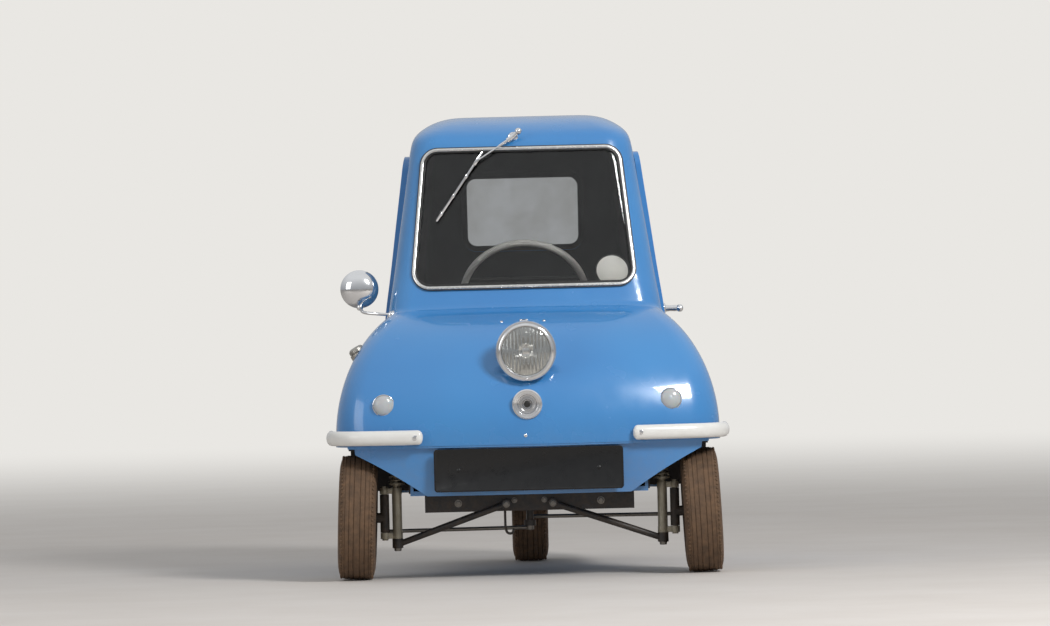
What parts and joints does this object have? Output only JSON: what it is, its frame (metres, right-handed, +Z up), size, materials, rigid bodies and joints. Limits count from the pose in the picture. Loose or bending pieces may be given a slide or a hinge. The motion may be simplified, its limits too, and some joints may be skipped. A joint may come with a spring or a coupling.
{
  "type": "three-wheeled microcar",
  "caption": "Tiny blue single-seat three-wheeled city car: tall narrow cab on wide front wings, one centre headlamp, rear-hinged door, front wheels steered by a linkage.",
  "frame": {"origin": "centre of the bounding box's foot, on the ground", "axes": "+Z up, +Y to the rear, +X to the car's left (the door's side)"},
  "size_m": [1.0408, 1.372, 1.194],
  "materials": {
    "blue_paint": "gloss gel coat on glass-fibre",
    "dark_underside": "matt black glass-fibre",
    "polished_metal": "polished",
    "window_glass": "clear",
    "black_rubber": "moulded",
    "chrome_trim": "plated",
    "lamp_shell": "plated",
    "lamp_glass": "moulded flutes",
    "white_lens": "milky moulded lens",
    "red_lens": "moulded lens",
    "white_bumper": "gloss white",
    "black_plate": "blank gloss black",
    "alloy": "cast",
    "chassis_paint": "black chassis paint",
    "strut_paint": "silver-beige paint",
    "cast_knuckle": "cast, painted",
    "grey_plastic": "moulded",
    "bare_steel": "dull",
    "dark_trim": "grained",
    "seat_vinyl": "black vinyl cloth",
    "tyre_rubber": "dusty",
    "wheel_paint": "silver paint"
  },
  "bodies": {
    "root": {"body_shell": "blue_paint", "floor_tub": "blue_paint", "wheel_arch_liners": "dark_underside", "windscreen_frame": "polished_metal", "windscreen_glass": "window_glass", "rear_window_frame": "black_rubber", "rear_window_glass": "window_glass", "side_panel_right": "blue_paint", "side_glass_right": "window_glass", "body_hinge_leaves": "chrome_trim", "headlamp_bowl": "lamp_shell", "headlamp_rim": "chrome_trim", "headlamp_lens": "lamp_glass", "horn": "chrome_trim", "side_lamps": "white_lens", "tail_lamps": "red_lens", "front_bumpers": "white_bumper", "number_plate_front": "black_plate", "mirror": "chrome_trim", "wiper": "chrome_trim", "fuel_cap": "alloy", "lifting_bail": "chrome_trim", "front_crossmember": "chassis_paint", "lower_arms": "chassis_paint", "front_struts": "strut_paint", "steering_box": "chassis_paint", "dash_shelf": "dark_trim", "seat_plinth": "dark_underside", "seat_cushion": "seat_vinyl", "seat_back": "seat_vinyl", "pedals": "chassis_paint", "engine_block": "alloy", "exhaust": "bare_steel", "rear_fork": "chassis_paint", "rear_springs": "strut_paint"},
    "door": {"door_panel": "blue_paint", "door_glass": "window_glass", "door_hinge_leaves": "chrome_trim", "door_handle": "chrome_trim"},
    "knuckle_left": {"knuckle_left": "cast_knuckle"},
    "knuckle_right": {"knuckle_right": "cast_knuckle"},
    "wheel_front_left": {"tyre_front_left": "tyre_rubber", "rim_front_left": "wheel_paint"},
    "wheel_front_right": {"tyre_front_right": "tyre_rubber", "rim_front_right": "wheel_paint"},
    "wheel_rear": {"tyre_rear": "tyre_rubber", "rim_rear": "wheel_paint"},
    "steering_wheel": {"steering_wheel": "grey_plastic"},
    "drop_arm": {"drop_arm": "chassis_paint"},
    "tie_rod_left": {"tie_rod_left": "bare_steel"},
    "tie_rod_right": {"tie_rod_right": "bare_steel"}
  },
  "joints": [
    {"name": "door_hinge", "type": "hinge", "parent": "root", "child": "door", "pos_m": [0.34576, 0.229, 0.59], "axis": [-0.1238, 0, 0.9923], "range_deg": [0, 80]},
    {"name": "steer_left", "type": "hinge", "parent": "root", "child": "knuckle_left", "pos_m": [0.375, -0.496, 0.16], "axis": [0, 0, 1], "range_deg": [-25, 25]},
    {"name": "steer_right", "type": "hinge", "parent": "root", "child": "knuckle_right", "pos_m": [-0.375, -0.496, 0.16], "axis": [0, 0, 1], "range_deg": [-25, 25]},
    {"name": "steering_column", "type": "hinge", "parent": "root", "child": "steering_wheel", "pos_m": [0, -0.17, 0.72], "axis": [0, 0.866, 0.5], "range_deg": [-75, 75]},
    {"name": "drop_arm_pivot", "type": "hinge", "parent": "root", "child": "drop_arm", "pos_m": [0, -0.44, 0.2], "axis": [0, 0, 1], "range_deg": [-25, 25]},
    {"name": "tie_rod_left_pivot", "type": "hinge", "parent": "drop_arm", "child": "tie_rod_left", "pos_m": [0, -0.37, 0.149], "axis": [0, 0, 1], "range_deg": [-25, 25]},
    {"name": "tie_rod_right_pivot", "type": "hinge", "parent": "drop_arm", "child": "tie_rod_right", "pos_m": [0, -0.37, 0.121], "axis": [0, 0, 1], "range_deg": [-25, 25]},
    {"name": "wheel_spin_front_left", "type": "hinge", "parent": "knuckle_left", "child": "wheel_front_left", "pos_m": [0.4445, -0.496, 0.16116], "axis": [0.999, 0, 0.0436], "continuous": true},
    {"name": "wheel_spin_front_right", "type": "hinge", "parent": "knuckle_right", "child": "wheel_front_right", "pos_m": [-0.4445, -0.496, 0.16116], "axis": [-0.999, 0, 0.0436], "continuous": true},
    {"name": "wheel_spin_rear", "type": "hinge", "parent": "root", "child": "wheel_rear", "pos_m": [0, 0.486, 0.16], "axis": [1, 0, 0], "continuous": true}
  ],
  "couplings": [
    {"joint": "steer_right", "follows": "steer_left", "ratio": 1},
    {"joint": "steering_column", "follows": "steer_left", "ratio": 3},
    {"joint": "drop_arm_pivot", "follows": "steer_left", "ratio": 1},
    {"joint": "tie_rod_left_pivot", "follows": "steer_left", "ratio": -1},
    {"joint": "tie_rod_right_pivot", "follows": "steer_left", "ratio": -1}
  ]
}
